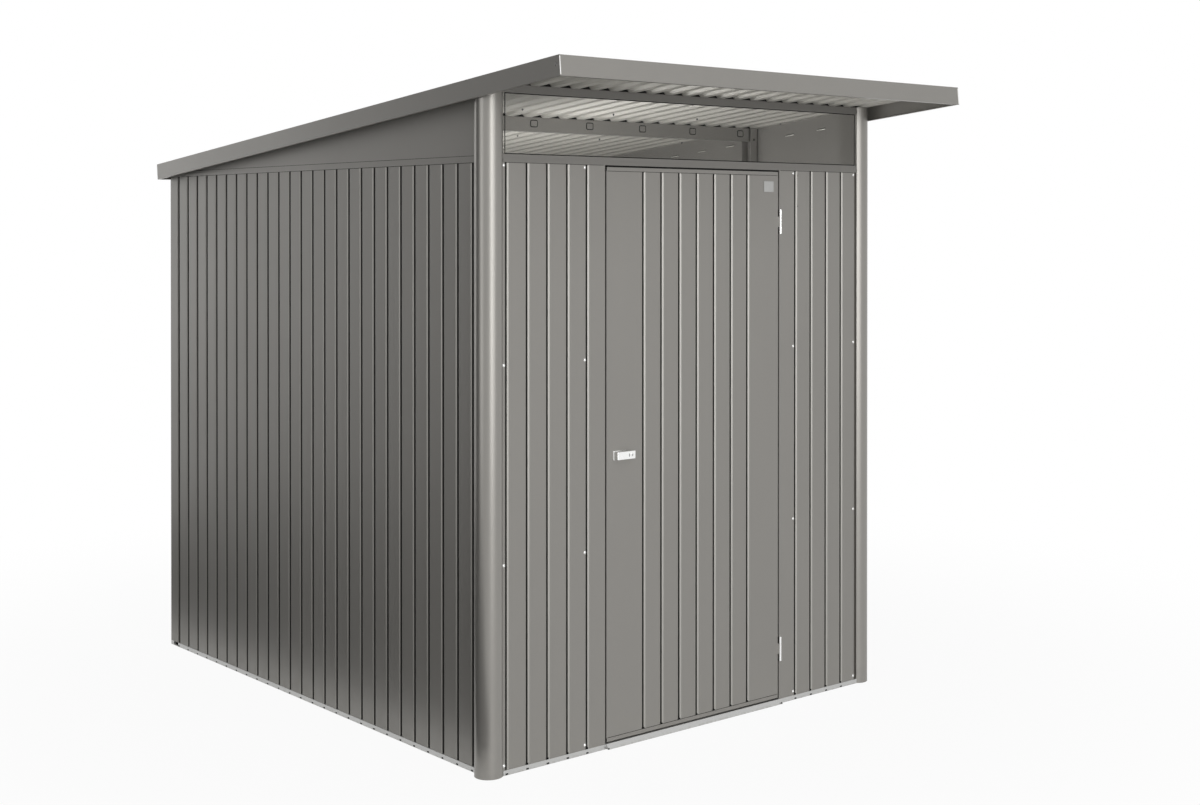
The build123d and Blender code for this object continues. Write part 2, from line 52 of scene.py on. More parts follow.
# Studio
FLOOR_SIZE = 60.0
FLOOR_DROP = 0.002
FLOOR_NEAR = 0.9
FLOOR_FAR = 4.0
FLOOR_WHITE = 0.94  # share of plain white near the shed, all of it from FLOOR_FAR on
ROOM_LIGHT = 0.12
SIDE_CARD_PLACE = (-4.6, 3.7, 2.2)
SIDE_CARD_SIZE = (1, 6.4, 5.6)
LOW_CARD_PLACE = (-2.9, 1.2, 0.004)
LOW_CARD_SIZE = (3.7, 5.2, 1)

# Lamps: name, place, aim, width, height, watts
LAMPS = (
    ("front_low", (-1.6, -9.0, 1.5), (-0.3, -0.9, 0.8), 6.0, 3.6, 172),
    ("front_high", (-1.2, -6.5, 6.5), (-0.2, -0.9, 1.2), 6.0, 4.0, 128),
    ("front_strip", (-2.4, -9.0, 1.5), (-0.8, -0.9, 1.2), 1.6, 6.0, 98),
    ("left_low", (-8.5, -0.5, 1.6), (-0.86, 0.2, 1.2), 3.0, 3.0, 44),
    ("back_left_high", (-4.5, 6.5, 5.5), (-0.86, 0.8, 1.6), 4.0, 4.0, 74),
    ("back_left_low", (-3.0, 5.4, 1.8), (-0.86, 1.2, 1.4), 2.0, 2.4, 13),
    ("inside", (-0.5, 0.5, 1.3), (0.4, 0.2, 2.05), 0.6, 0.6, 4.2),
    ("inside_right", (-0.3, -0.3, 1.5), (0.85, -0.4, 2.0), 0.5, 0.5, 2.6),
    ("inside_front", (-0.3, -0.45, 1.3), (0.3, 0.0, 2.1), 0.4, 0.4, 2.2),
)

# Wall screws. Shoulder and top are shares of the radius.
SCREW_RADIUS = 0.0046
SCREW_HEIGHT = 0.0026
SCREW_FLANGE = 0.0008
SCREW_CROWN = 0.0006
SCREW_SHOULDER = 0.16
SCREW_TAPER = 0.78
SCREW_TOP = 0.65
SOCKET_RADIUS = 0.0022
SOCKET_DEPTH = 0.0014
SCREW_HEIGHTS = (0.031, 0.644, 1.256, 1.868)
SCREW_COLUMNS = (-0.8066, -0.486, 0.4715, 0.790)
REAR_COLUMNS = (-0.800, -0.280, 0.280, 0.800)
POST_SCREW_HEIGHTS = (0.60, 1.30, 2.02)

# Wall studs. Each step has a rise and a taper.
STUD_RADIUS = 0.0042
STUD_FOOT = 0.001
STUD_STEPS = ((0.0018, 0.8), (0.0006, 0.6))
STUD_PLACES = ((0.4965, 1.860), (0.4965, 1.752))

# Roof screws. The shank is a share of the length, the point one of the radius.
ROOF_SCREW_COLUMNS = (-0.830, -0.424, -0.019, 0.387, 0.830)
ROOF_SCREW_ROWS = (-0.495, 0.065, 0.625, 1.150)
TIP_RADIUS = 0.0032
TIP_LENGTH = 0.007
TIP_SHANK = 0.6
TIP_POINT = 0.25

# Fascia
FASCIA_SCREW_FROM_FRONT = 0.0185
FASCIA_SCREW_DROP = 0.027
FASCIA_SCREW_THICKNESS = 0.0012
FASCIA_SCREW_BACK = 0.0004
FASCIA_SOCKET_DEPTH = 0.0008
EDGE_WIDTH = 0.0036
EDGE_DEPTH = 0.00025
EDGE_END = 0.004
EDGE_IN = 0.0019

# Grooves of the front sheets. The margin keeps clear of a sheet's sides.
GROOVE_PITCH = 0.080
GROOVE_SHIFT = 0.004
GROOVE_MARGIN = 0.02
GROOVES_AT_MOST = 30
DOOR_GROOVE_REACH = 0.300
GROOVE_FOOT = (0.0045, 0.0007, 0.0034)
FOOT_RISE = 0.8

# Roof fillers
RIB_PITCH = 0.080
RIB_REACH = 0.800
FILLER_SIZE = (0.0455, 0.016, 0.0118)
FILLER_TAPER = 0.54
FILLER_ROUND = 0.0008
FILLER_INSET = 0.0005
REAR_FILLER_STEP = 0.008
ROOF_SLOPE = 5.35

# Beam clips. The ring has a width, height, band, depth and corner.
CLIP_PITCH = 0.255
CLIP_NUMBER = 7
CLIP_RING = (0.0330, 0.0260, 0.0029, 0.0016, 0.0065)

# Window
GASKET_SIDE = 0.012
GASKET_BAND = 0.0028
GASKET_DEPTH = 0.002
GASKET_CLEAR = 0.001

# Black ring and lip in the gaps round the door, as painted shade. The size has a width, height, band and
# depth.
GAP_SHADE_SIZE = (0.8134, 1.8745, 0.0112, 0.0022)
GAP_SHADE_BACK = 0.0102
GAP_SHADE_DROP = 0.0125
TOP_GAP_SHADE_SHARE = 0.9
TOP_GAP_SHADE_DEPTH = 0.002
TOP_GAP_SHADE_CLEAR = 0.002

# Gable slots, with pale tongues as painted highlight and black beds as painted shade. Tongue and bed
# have a height and a depth.
SLOT_FIRST = 0.212
SLOT_PITCH = 0.163
SLOT_LENGTH = 0.043
SLOT_RISE = -0.0486
SLOT_CLEAR = 0.0035
SLOT_TONGUE = (0.0030, 0.0040)
SLOT_SHADE_BED = (0.0033, 0.0005)
TONGUE_LIFT = -0.0022
SHADE_BED_SUNK = 0.0004

# Shadow lines: black strips of painted shade under rails, at sheet edges and at folds. Each is shorter
# than its rail or sheet by its clearance.
SHADOW_LINE_HEIGHT = 0.0014
SHADOW_LINE_THICKNESS = 0.0013
SHADOW_LINE_DEPTH = 0.0004
RAIL_SHADOW_CLEAR = 0.002
WALL_SHADOW_CLEAR = 0.012
DOOR_SHADOW_CLEAR = 0.006

# Plate and lever. Slot and mark have a length, height and depth.
PLATE_RIM = 0.0014
PLATE_RIM_DEPTH = 0.0004
PLATE_CORNER = 0.002
KEY_OFFSET = 0.0145
KEY_RADIUS = 0.0065
KEY_DEPTH = 0.0006
KEY_STEP = 0.18
KEY_SUNK = 0.0004
KEY_SLOT = (0.0016, 0.0075, 0.0005)
KEY_SLOT_PROUD = 0.0001
LEVER_MARK = (0.0012, 0.009, 0.0004)
LEVER_MARK_OFFSET = 0.013

# Sill plugs. Each has a distance from the sill's end and a height.
PLUG_SIZE = (0.0035, 0.0006, 0.0024)
PLUG_LEFT = (0.007, 0.0032)
PLUG_RIGHT = (0.008, 0.0045)

# Sockets of a mix node for colours: factor, first, second and result
MIX_FACTOR, MIX_FIRST, MIX_SECOND, MIX_RESULT = 0, 6, 7, 2


# Shader sockets


class Signal:
    """An output socket that takes part in arithmetic."""

    def __init__(self, net, socket):
        self.net = net
        self.socket = socket

    def _math(self, operation, *values, clamp=False):
        return self.net.node(
            "ShaderNodeMath", {"operation": operation, "use_clamp": clamp}, dict(enumerate(values))
        )

    def __add__(self, other):
        return self._math("ADD", self, other)

    __radd__ = __add__

    def __sub__(self, other):
        return self._math("SUBTRACT", self, other)

    def __rsub__(self, other):
        return self._math("SUBTRACT", other, self)

    def __mul__(self, other):
        return self._math("MULTIPLY", self, other)

    __rmul__ = __mul__

    def __gt__(self, other):
        return self._math("GREATER_THAN", self, other)

    def __lt__(self, other):
        return self._math("LESS_THAN", self, other)

    def __abs__(self):
        return self._math("ABSOLUTE", self)

    def clamped(self):
        return self._math("ADD", self, 0.0, clamp=True)


class Net:
    """The node tree of one finish."""

    def __init__(self, tree):
        self.tree = tree
        tree.nodes.clear()

    def node(self, kind, settings=None, inputs=None, output=0):
        made = self.tree.nodes.new(kind)
        for name, value in (settings or {}).items():
            setattr(made, name, value)
        for name, value in (inputs or {}).items():
            if isinstance(value, Signal):
                self.tree.links.new(value.socket, made.inputs[name])
            else:
                made.inputs[name].default_value = value
        return Signal(self, made.outputs[output]) if len(made.outputs) else None

    def place(self, stretch=(1, 1, 1)):
        """Object coordinates, stretched along the axes."""
        spot = self.node("ShaderNodeTexCoord", output="Object")
        if stretch == (1, 1, 1):
            return spot
        return self.node("ShaderNodeMapping", inputs={"Vector": spot, "Scale": stretch})

    def axis(self, name):
        """One coordinate of the object, in metres."""
        return self.node("ShaderNodeSeparateXYZ", inputs={"Vector": self.place()}, output=name)

    def facing(self, name):
        """One component of the surface's own direction."""
        normal = self.node("ShaderNodeTexCoord", output="Normal")
        return self.node("ShaderNodeSeparateXYZ", inputs={"Vector": normal}, output=name)

    def cloud(self, size, detail=2.0, stretch=(1, 1, 1)):
        """Soft noise from 0 to 1 whose patches are about that many metres wide."""
        inputs = {"Vector": self.place(stretch), "Scale": 1 / size, "Detail": detail}
        return self.node("ShaderNodeTexNoise", inputs=inputs)

    def band(self, value, low, high):
        """0 below low, 1 above high, smooth between."""
        settings = {"interpolation_type": "SMOOTHSTEP"}
        inputs = {"Value": value, "From Min": low, "From Max": high, "To Min": 0.0, "To Max": 1.0}
        return self.node("ShaderNodeMapRange", settings, inputs)

    def colour(self, factor, first, second):
        """From the first colour to the second."""
        inputs = {MIX_FACTOR: factor, MIX_FIRST: as_colour(first), MIX_SECOND: as_colour(second)}
        return self.node("ShaderNodeMix", {"data_type": "RGBA"}, inputs, MIX_RESULT)

    def relief(self, height, strength, distance):
        """A bumped normal from a height signal."""
        inputs = {"Height": height, "Strength": strength, "Distance": distance}
        return self.node("ShaderNodeBump", inputs=inputs, output="Normal")

    def seen(self):
        """1 for rays from the camera, also through clear pieces and off shiny ones."""
        kinds = ("Is Camera Ray", "Is Transmission Ray", "Is Glossy Ray")
        camera_ray, through, mirrored = [self.node("ShaderNodeLightPath", output=kind) for kind in kinds]
        return (camera_ray + through + mirrored).clamped()

    def finish(self, **inputs):
        """The Principled shader with these sockets, and the output."""
        named = {key.replace("_", " "): value for key, value in inputs.items()}
        for key, value in named.items():
            if isinstance(value, tuple):
                named[key] = as_colour(value)
        shader = self.node("ShaderNodeBsdfPrincipled", inputs=named)
        self.node("ShaderNodeOutputMaterial", inputs={"Surface": shader})


def as_colour(value):
    if isinstance(value, tuple) and len(value) == 3:
        return (*value, 1.0)
    return value


def material(name):
    made = bpy.data.materials.new(name)
    made.use_nodes = True
    return made, Net(made.node_tree)


# Finishes

COAT_GREY = (0.301, 0.290, 0.270)
COAT_SHADE = (0.271, 0.261, 0.243)
COAT_GLINT = (0.345, 0.334, 0.313)
FLAKE_SIZE = 0.0011
SKIN_SIZE = 0.0032
DUST = (0.36, 0.345, 0.31)
DUST_TOP = 0.22
BLACK = (0.0, 0.0, 0.0)
# Tones of a groove's lip and floor. They follow its depth alone, and stand for the glint
# and the shade that the photo shows there, whatever the light.
LIP_HIGHLIGHT_TONE = (0.47, 0.465, 0.43)
GROOVE_SHADE_TONE = (0.022, 0.021, 0.019)
LIP_END = 0.0036
SIDE_LIP_END = 0.0016
ALUMINIUM = (0.56, 0.56, 0.55)
ALUMINIUM_SHADE = (0.47, 0.47, 0.46)
RAIL_DIRT = (0.30, 0.285, 0.25)
POCKET_SHADE = (0.015, 0.015, 0.014)
POCKET_SHADE_TOP = 0.0068
FACE_SKIN = 0.0004
RAIL_END = 0.850
UNDERSIDE_TONE = (0.50, 0.485, 0.44)
UNDERSIDE_TONE_DEEPER = (0.44, 0.425, 0.385)


def painted_groove_light(net, base, deep, lip_end):
    """The base with a painted highlight on the lip and painted shade on the floor by depth, and where
    the floor is.
    """
    lip = net.band(deep, 0.0002, 0.0006) * (1 - net.band(deep, lip_end * 0.7, lip_end * 1.2))
    sunk = net.band(deep, lip_end * 0.95, lip_end * 1.6)
    base = net.colour(lip * 0.6, base, LIP_HIGHLIGHT_TONE)
    return net.colour(sunk * 0.92, base, GROOVE_SHADE_TONE), sunk


def coat(name, metal=0.35, rough=0.42, tone=1.0, depth=None, lip_end=LIP_END):
    """Metallic powder coat: fine flakes, a faint cloud, dust low down, painted highlight and shade in
    the grooves by depth.
    """
    made, net = material(name)
    flakes = net.cloud(FLAKE_SIZE, 1.0)
    patches = net.cloud(0.45, 3.0)
    run = net.cloud(0.06, 2.0, (1, 1, 0.08))
    glint = net.band(flakes, 0.60, 0.72) * 0.35
    base = net.colour((patches - 0.35) * 0.6 + (run - 0.5) * 0.25, COAT_GREY, COAT_SHADE)
    base = net.colour(glint, base, COAT_GLINT)
    dust = (1 - net.band(net.axis("Z"), 0.0, DUST_TOP)) * net.band(net.cloud(0.03, 4.0), 0.35, 0.7)
    base = net.colour(dust * 0.18, base, DUST)
    # A tone under 1 darkens the coat toward black, as painted shade.
    base = net.colour(1 - tone, base, BLACK)
    sunk = 0.0
    if depth:
        base, sunk = painted_groove_light(net, base, depth(net), lip_end)
    skin = net.cloud(SKIN_SIZE, 2.0)
    net.finish(
        Base_Color=base,
        Metallic=metal * (1 - sunk * 0.7),
        Roughness=rough + (patches - 0.5) * 0.06 + dust * 0.15 + sunk * 0.2,
        Normal=net.relief(skin, 0.12, 0.0004),
    )
    return made


def rail_metal(name, grain, shaded_inside):
    """Bare aluminium rail, drawn along its length, with painted shade inside its drain pockets."""
    made, net = material(name)
    lines = net.cloud(0.0012, 3.0, grain)
    wide = net.cloud(0.02, 2.0, grain)
    grime = net.cloud(0.012, 4.0)
    base = net.colour((lines - 0.4) * 0.5, ALUMINIUM, ALUMINIUM_SHADE)
    low = 1 - net.band(net.axis("Z"), 0.001, 0.009)
    base = net.colour(low * net.band(grime, 0.4, 0.65) * 0.35, base, RAIL_DIRT)
    # Painted shade on the faces behind the rail's outer faces, below a height.
    pocket_shade = shaded_inside(net) * (net.axis("Z") < POCKET_SHADE_TOP)
    base = net.colour(pocket_shade, base, POCKET_SHADE)
    net.finish(
        Base_Color=base,
        Metallic=0.65 * (1 - pocket_shade),
        Roughness=0.34 + (wide - 0.5) * 0.16,
        Normal=net.relief(lines, 0.10, 0.0002),
    )
    return made


def roof_coat():
    """Coated on top, paler on the faces that look down."""
    made, net = material("roof_coat")
    flakes = net.cloud(FLAKE_SIZE, 1.0)
    patches = net.cloud(0.4, 3.0)
    top = net.colour((patches - 0.35) * 0.6, COAT_GREY, COAT_SHADE)
    top = net.colour(net.band(flakes, 0.60, 0.72) * 0.35, top, COAT_GLINT)
    below = net.colour((patches - 0.4) * 0.5, UNDERSIDE_TONE, UNDERSIDE_TONE_DEEPER)
    under = 1 - net.band(net.facing("Z"), -0.12, 0.12)
    skin = net.cloud(SKIN_SIZE, 2.0)
    net.finish(
        Base_Color=net.colour(under, top, below),
        Metallic=0.2,
        Roughness=0.45 + (patches - 0.5) * 0.08,
        Normal=net.relief(skin, 0.12, 0.0004),
    )
    return made


def bright_metal(name, tone, rough, grain=(1, 1, 1)):
    """Polished or satin bare metal."""
    made, net = material(name)
    lines = net.cloud(0.0008, 3.0, grain)
    smear = net.cloud(0.02, 3.0)
    shade = tuple(0.9 * part for part in tone)
    net.finish(
        Base_Color=net.colour((smear - 0.35) * 0.7, tone, shade),
        Metallic=1.0,
        Roughness=rough + (lines - 0.5) * 0.08 + (smear - 0.5) * 0.06,
        Normal=net.relief(lines, 0.06, 0.0001),
    )
    return made


def clear_sheet():
    """Clear acrylic with a little dust."""
    made, net = material("clear_pane")
    dust = net.band(net.cloud(0.02, 5.0), 0.45, 0.8)
    net.finish(
        Base_Color=(0.80, 0.82, 0.81),
        Roughness=0.03 + dust * 0.05,
        Alpha=0.012 + dust * 0.012,
        IOR=1.49,
    )
    return made


def rubber(name, size):
    """Matt black for seals, fillers and painted shade, its grain about that many metres wide."""
    made, net = material(name)
    grain = net.cloud(size, 3.0)
    net.finish(
        Specular_IOR_Level=0.12,
        Base_Color=net.colour(grain, (0.006, 0.006, 0.006), (0.018, 0.018, 0.017)),
        Roughness=0.62 + (grain - 0.5) * 0.2,
        Normal=net.relief(grain, 0.2, 0.0002),
    )
    return made


def depth_from_front(net):
    """How far a place lies behind the flats of the front sheets."""
    return net.axis("Y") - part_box("front_wall_left")[0].y


def depth_from_sides(net):
    """How far a place lies within the flats of the side sheets."""
    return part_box("right_wall")[1].x - abs(net.axis("X"))


def depth_from_rear(net):
    """How far a place lies before the flats of the rear sheet."""
    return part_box("rear_wall")[1].y - net.axis("Y")


def behind_long_faces(net):
    """1 behind the outer faces of the front and rear rails, 0 on them."""
    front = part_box("base_rail_front_left")[0].y + FACE_SKIN
    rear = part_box("base_rail_rear")[1].y - FACE_SKIN
    along = net.axis("Y")
    return (along > front) * (along < rear) * (abs(net.axis("X")) < RAIL_END)


def behind_side_faces(net):
    """1 behind the outer faces of the side rails, 0 on them."""
    low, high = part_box("base_rail_right")
    along = net.axis("Y")
    within = (along > low.y + FACE_SKIN) * (along < high.y - FACE_SKIN)
    return (abs(net.axis("X")) < high.x - FACE_SKIN) * within


FINISHES = {
    "wall_coat": coat("wall_coat"),
    "frame_coat": coat("frame_coat", 0.30, 0.45),
    "post_coat": coat("post_coat", 0.55, 0.33),
    "fascia_coat": coat("fascia_coat", 0.40, 0.38),
    "roof_coat": roof_coat(),
    "bare_rail": rail_metal("bare_rail", (0.03, 1, 1), behind_long_faces),
    "clear_pane": clear_sheet(),
    "bright_handle": bright_metal("bright_handle", (0.90, 0.90, 0.89), 0.16),
    "hinge_steel": bright_metal("hinge_steel", (0.86, 0.86, 0.85), 0.24, (1, 1, 0.05)),
    "plate_metal": bright_metal("plate_metal", (0.42, 0.42, 0.41), 0.40, (0.05, 1, 1)),
}
FRONT_SHEET = coat("front_sheet_coat", depth=depth_from_front)
SIDE_SHEET = coat("side_sheet_coat", depth=depth_from_sides, lip_end=SIDE_LIP_END)
REAR_SHEET = coat("rear_sheet_coat", depth=depth_from_rear)
SIDE_RAIL_METAL = rail_metal("side_rail", (1, 0.03, 1), behind_side_faces)
# Nodes whose finish isn't their slot's. The front beam and front rail are darker because
# the lamps alone leave them lighter than the photo under the overhang.
OWN_FINISHES = {
    "front_wall_left": FRONT_SHEET,
    "front_wall_right": FRONT_SHEET,
    "door_skin": FRONT_SHEET,
    "left_wall": SIDE_SHEET,
    "right_wall": SIDE_SHEET,
    "rear_wall": REAR_SHEET,
    # Painted shade: these two coats are darkened by their tone.
    "roof_beam_front": coat("front_beam_painted_shade", 0.2, 0.5, 0.62),
    "top_rail_front": coat("front_rail_painted_shade", 0.3, 0.45, 0.76),
    "base_rail_left": SIDE_RAIL_METAL,
    "base_rail_right": SIDE_RAIL_METAL,
}
SCREW_STEEL = bright_metal("screw_steel", (0.82, 0.82, 0.81), 0.26)
DARK_STEEL = bright_metal("dark_steel", (0.10, 0.10, 0.10), 0.5)
# Black for seals, slots and marks, and for strips that stand as painted shade in gaps, at folds and
# under rails.
MATT_BLACK_AND_SHADE = rubber("matt_black_and_shade", 0.0015)
# Painted highlight down the folded corners of the fascia.
EDGE_HIGHLIGHT = bright_metal("edge_highlight", (0.80, 0.795, 0.77), 0.42)
RIB_FILLER_BLACK = rubber("rib_filler_black", 0.004)
# Painted highlight on the tongues of the gable slots.
SLOT_HIGHLIGHT = bright_metal("slot_highlight", (0.80, 0.79, 0.74), 0.5)


def dress_nodes():
    """Gives every node of the frame its own finish or that of its slot."""
    for part in frame["record"]["subparts"]:
        name = part["node"]
        finish = OWN_FINISHES.get(name, FINISHES[part["material_slot"]])
        for place in frame["nodes"][name].material_slots:
            place.material = finish


# Modelling by hand


def let_go():
    """Back to object mode, with nothing picked."""
    if bpy.context.mode != "OBJECT":
        bpy.ops.object.mode_set(mode="OBJECT")
    bpy.ops.object.select_all(action="DESELECT")


def edit(piece, rule=None):
    """Opens the piece for editing, with only the faces picked that the rule names."""
    bpy.ops.object.mode_set(mode="OBJECT")
    mesh = piece.data
    mesh.vertices.foreach_set("select", [False] * len(mesh.vertices))
    mesh.edges.foreach_set("select", [False] * len(mesh.edges))
    mesh.polygons.foreach_set("select", [bool(rule and rule(face)) for face in mesh.polygons])
    bpy.ops.object.mode_set(mode="EDIT")
    bpy.ops.mesh.select_mode(type="FACE")


def extrude(x, y, z):
    """Draws the picked faces out by that much."""
    bpy.ops.mesh.extrude_region_move(TRANSFORM_OT_translate={"value": (x, y, z)})


def bead(name, half_size):
    """Flattened black ball, centred."""
    let_go()
    bpy.ops.mesh.primitive_uv_sphere_add(segments=16, ring_count=8, radius=1)
    made = bpy.context.object
    edit(made)
    bpy.ops.mesh.select_all(action="SELECT")
    bpy.ops.transform.resize(value=half_size)
    return close(made, name, MATT_BLACK_AND_SHADE, smooth=60)


def close(piece, name, finish, smooth=30):
    """Ends the editing, settles the place into the mesh and gives the finish."""
    bpy.ops.object.mode_set(mode="OBJECT")
    bpy.ops.object.transform_apply(location=True, rotation=True, scale=True)
    bpy.ops.object.shade_smooth_by_angle(angle=radians(smooth))
    piece.name = name
    piece.data.name = name
    piece.data.materials.clear()
    piece.data.materials.append(finish)
    return piece


def screw_head(name, finish):
    """Flanged pan head with a round socket, its seat on the XY plane, axis +Z."""
    let_go()
    bpy.ops.mesh.primitive_cylinder_add(
        vertices=18, radius=SCREW_RADIUS, depth=SCREW_FLANGE, location=(0, 0, SCREW_FLANGE / 2)
    )
    head = bpy.context.object
    edit(head, lambda face: face.normal.z > 0.9)
    bpy.ops.mesh.inset(thickness=SCREW_RADIUS * SCREW_SHOULDER)
    extrude(0, 0, SCREW_HEIGHT - SCREW_FLANGE - SCREW_CROWN)
    extrude(0, 0, SCREW_CROWN)
    bpy.ops.transform.resize(value=(SCREW_TAPER, SCREW_TAPER, 1))
    bpy.ops.mesh.inset(thickness=SCREW_RADIUS * SCREW_TOP - SOCKET_RADIUS)
    extrude(0, 0, -SOCKET_DEPTH)
    return close(head, name, finish, smooth=40)


def copies(model, name, body, spots, turn=(0.0, 0.0, 0.0)):
    """Copies of the model at the spots, turned alike, joined to one piece."""
    made = []
    for spot in spots:
        let_go()
        twin = model.copy()
        twin.data = model.data.copy()
        bpy.context.scene.collection.objects.link(twin)
        twin.rotation_euler = turn
        twin.location = spot
        made.append(twin)
    let_go()
    for twin in made:
        twin.select_set(True)
    bpy.context.view_layer.objects.active = made[0]
    bpy.ops.object.join()
    joined = bpy.context.object
    bpy.ops.object.transform_apply(location=True, rotation=True, scale=True)
    joined.name = name
    joined.data.name = name
    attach(joined, body)
    return joined


def wall_screws():
    """The screws of the front and rear wall sheets."""
    rows = (
        ("front_wall_screws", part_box("front_wall_left")[0].y, SCREW_COLUMNS, pi / 2),
        ("rear_wall_screws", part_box("rear_wall")[1].y, REAR_COLUMNS, -pi / 2),
    )
    for name, face, columns, turn in rows:
        model = screw_head("screw_head", SCREW_STEEL)
        spots = [(x, face, z) for x in columns for z in SCREW_HEIGHTS]
        copies(model, name, "shed", spots, (turn, 0, 0))
        bpy.data.objects.remove(model)


def inner_post_screws():
    """Dark screws that hold the inner posts."""
    model = screw_head("screw_head", DARK_STEEL)
    for name in ("mid_post_left", "mid_post_right"):
        low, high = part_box(name)
        middle = (low.x + high.x) / 2
        spots = [(middle, low.y, z) for z in POST_SCREW_HEIGHTS]
        copies(model, name + "_screws", "shed", spots, (pi / 2, 0, 0))
    bpy.data.objects.remove(model)


def wall_studs():
    """Two round studs beside the first groove right of the door."""
    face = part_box("front_wall_right")[0].y
    let_go()
    bpy.ops.mesh.primitive_cylinder_add(
        vertices=20, radius=STUD_RADIUS, depth=STUD_FOOT, location=(0, 0, STUD_FOOT / 2)
    )
    stud = bpy.context.object
    edit(stud, lambda side: side.normal.z > 0.9)
    for rise, taper in STUD_STEPS:
        extrude(0, 0, rise)
        bpy.ops.transform.resize(value=(taper, taper, 1))
    close(stud, "wall_stud", FINISHES["wall_coat"], smooth=50)
    copies(stud, "wall_studs", "shed", [(x, face, z) for x, z in STUD_PLACES], (pi / 2, 0, 0))
    bpy.data.objects.remove(stud)


def roof_screw_tips():
    """Points of the roof screws where they come through the sheet's low flats."""
    shank = TIP_LENGTH * TIP_SHANK
    let_go()
    bpy.ops.mesh.primitive_cylinder_add(
        vertices=12, radius=TIP_RADIUS, depth=shank, location=(0, 0, -shank / 2)
    )
    tip = bpy.context.object
    edit(tip, lambda side: side.normal.z < -0.9)
    extrude(0, 0, shank - TIP_LENGTH)
    bpy.ops.transform.resize(value=(TIP_POINT, TIP_POINT, 1))
    close(tip, "roof_screw_tip", DARK_STEEL, smooth=40)
    spots = [(x, y, roof_seat(y)) for x in ROOF_SCREW_COLUMNS for y in ROOF_SCREW_ROWS]
    copies(tip, "roof_screw_tips", "shed", spots)
    bpy.data.objects.remove(tip)


def roof_seat(y):
    """Height of the low flats' underside over a place along the shed."""
    low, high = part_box("roof_beam_mid")
    return high.z - (y - low.y) * tan(radians(ROOF_SLOPE))


def rib_fillers():
    """Black pieces that close the roof's ribs over the beams and the rear rail."""
    let_go()
    bpy.ops.mesh.primitive_cube_add(size=1, location=(0, FILLER_SIZE[1] / 2, FILLER_SIZE[2] / 2))
    filler = bpy.context.object
    edit(filler)
    bpy.ops.mesh.select_all(action="SELECT")
    bpy.ops.transform.resize(value=FILLER_SIZE)
    edit(filler, lambda side: side.normal.z > 0.9)
    bpy.ops.transform.resize(value=(FILLER_TAPER, 1, 1))
    bpy.ops.mesh.select_all(action="SELECT")
    bpy.ops.mesh.bevel(offset=FILLER_ROUND, segments=2)
    close(filler, "rib_filler", RIB_FILLER_BLACK, smooth=40)
    count = int(round(RIB_REACH / RIB_PITCH))
    across = [number * RIB_PITCH for number in range(-count, count + 1)]
    rows = {
        "front_rib_fillers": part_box("roof_beam_front")[0].y + FILLER_INSET,
        "middle_rib_fillers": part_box("roof_beam_mid")[0].y + FILLER_INSET,
        "rear_rib_fillers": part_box("top_rail_rear")[0].y - REAR_FILLER_STEP,
    }
    for name, y in rows.items():
        spots = [(x, y, roof_seat(y)) for x in across]
        copies(filler, name, "shed", spots, (-radians(ROOF_SLOPE), 0, 0))
    bpy.data.objects.remove(filler)


def ring(name, finish, width, height, band, depth, corner=0):
    """Rounded frame facing -Y, its back on the XZ plane."""
    let_go()
    bpy.ops.mesh.primitive_plane_add(size=1, rotation=(pi / 2, 0, 0))
    made = bpy.context.object
    bpy.ops.object.transform_apply(location=False, rotation=True, scale=False)
    edit(made)
    bpy.ops.mesh.select_all(action="SELECT")
    bpy.ops.transform.resize(value=(width, 1, height))
    if corner:
        bpy.ops.mesh.bevel(offset=corner, segments=4, affect="VERTICES")
        bpy.ops.mesh.select_all(action="SELECT")
    bpy.ops.mesh.inset(thickness=band)
    bpy.ops.mesh.delete(type="FACE")
    bpy.ops.mesh.select_all(action="SELECT")
    extrude(0, -depth, 0)
    bpy.ops.mesh.select_all(action="SELECT")
    bpy.ops.mesh.normals_make_consistent(inside=False)
    bpy.ops.mesh.bevel(offset=min(band, depth) * 0.25, segments=1)
    return close(made, name, finish, smooth=40)


def clip_rings():
    """Dark rings round the clips of the middle beam."""
    low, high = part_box("beam_clips")
    model = ring("clip_ring", MATT_BLACK_AND_SHADE, *CLIP_RING)
    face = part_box("roof_beam_mid")[0].y
    middle = (low.z + high.z) / 2
    first = -(CLIP_NUMBER - 1) / 2 * CLIP_PITCH
    spots = [(first + number * CLIP_PITCH, face, middle) for number in range(CLIP_NUMBER)]
    copies(model, "beam_clip_rings", "shed", spots)
    bpy.data.objects.remove(model)


def window_gasket():
    """Dark gasket round the front of the clear pane."""
    low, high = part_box("front_pane")
    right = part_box("front_wall_right")[1].x + GASKET_SIDE / 2
    middle = (low.z + high.z) / 2
    tall = high.z - low.z - GASKET_CLEAR
    model = ring("gasket", MATT_BLACK_AND_SHADE, 2 * right, tall, GASKET_BAND, GASKET_DEPTH)
    copies(model, "window_gasket", "shed", [(0, low.y, middle)])
    bpy.data.objects.remove(model)


def strip(name, finish, length, height, depth):
    """Slim rounded strip along X, centred, its back on the XZ plane, facing -Y."""
    let_go()
    bpy.ops.mesh.primitive_cube_add(size=1, location=(0, -depth / 2, 0))
    made = bpy.context.object
    edit(made)
    bpy.ops.mesh.select_all(action="SELECT")
    bpy.ops.transform.resize(value=(length, depth, height))
    bpy.ops.mesh.bevel(offset=min(height, depth) * 0.3, segments=2)
    return close(made, name, finish, smooth=50)


def slot_places():
    """Places of the gable slots along the shed, without those by the inner posts."""
    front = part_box("front_wall_left")[0].y
    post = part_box("mid_post_left")
    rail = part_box("top_rail_left")[1].z
    places = []
    y = front + SLOT_FIRST
    while roof_seat(y) + SLOT_RISE > rail + SLOT_CLEAR:
        if y + SLOT_LENGTH < post[0].y or y > post[1].y:
            places.append(y)
        y += SLOT_PITCH
    return places


